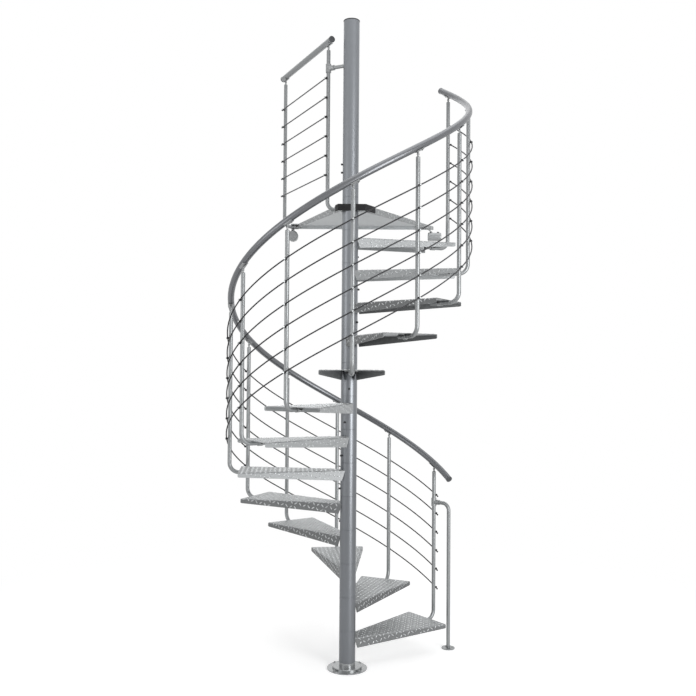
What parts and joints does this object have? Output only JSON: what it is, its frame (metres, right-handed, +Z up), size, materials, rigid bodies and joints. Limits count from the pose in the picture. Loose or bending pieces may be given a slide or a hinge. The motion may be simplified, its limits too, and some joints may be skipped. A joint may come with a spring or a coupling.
{
  "type": "spiral staircase",
  "caption": "Galvanised steel spiral stair: folded tear-plate treads on a round column, round balusters, helical tube handrail, rod infill and a small corner landing with a guard.",
  "frame": {"origin": "centre of the base plate's underside, on the floor, on the column's axis", "axes": "+Z up along the column; the stair climbs counter-clockwise from above; the landing's back edge faces +Y"},
  "size_m": [1.5319, 1.5515, 4.077],
  "materials": {
    "galvanised_base": "dull galvanised",
    "galvanised_column": "satin galvanised",
    "galvanised_plate": "galvanised tear-pattern plate",
    "galvanised_tube": "satin galvanised",
    "galvanised_fitting": "cast, galvanised",
    "rail_steel": "satin, dark grey",
    "rod_steel": "drawn rod, dark",
    "black_plastic": "matt black"
  },
  "bodies": {
    "root": {"base_plate": "galvanised_base", "base_socket": "galvanised_base", "centre_pole": "galvanised_column", "tread_01": "galvanised_plate", "tread_02": "galvanised_plate", "tread_03": "galvanised_plate", "tread_04": "galvanised_plate", "tread_05": "galvanised_plate", "tread_06": "galvanised_plate", "tread_07": "galvanised_plate", "tread_08": "galvanised_plate", "tread_09": "galvanised_plate", "tread_10": "galvanised_plate", "tread_11": "galvanised_plate", "tread_12": "galvanised_plate", "tread_13": "galvanised_plate", "landing": "galvanised_plate", "landing_brackets": "galvanised_fitting", "top_sleeve": "galvanised_column", "column_cap": "black_plastic", "baluster_01": "galvanised_tube", "baluster_02": "galvanised_tube", "baluster_03": "galvanised_tube", "baluster_04": "galvanised_tube", "baluster_05": "galvanised_tube", "baluster_06": "galvanised_tube", "baluster_07": "galvanised_tube", "baluster_08": "galvanised_tube", "baluster_09": "galvanised_tube", "baluster_10": "galvanised_tube", "baluster_11": "galvanised_tube", "baluster_12": "galvanised_tube", "baluster_13": "galvanised_tube", "foot_clamps": "galvanised_fitting", "rail_connectors": "galvanised_fitting", "handrail": "rail_steel", "handrail_caps": "rail_steel", "infill_rods": "rod_steel", "rod_clips": "rod_steel", "rod_caps": "black_plastic", "newel_post": "galvanised_tube", "newel_tee": "galvanised_fitting", "guard_posts": "galvanised_tube", "guard_rail": "rail_steel", "guard_rods": "rod_steel", "guard_stay": "galvanised_fitting"}
  },
  "joints": []
}
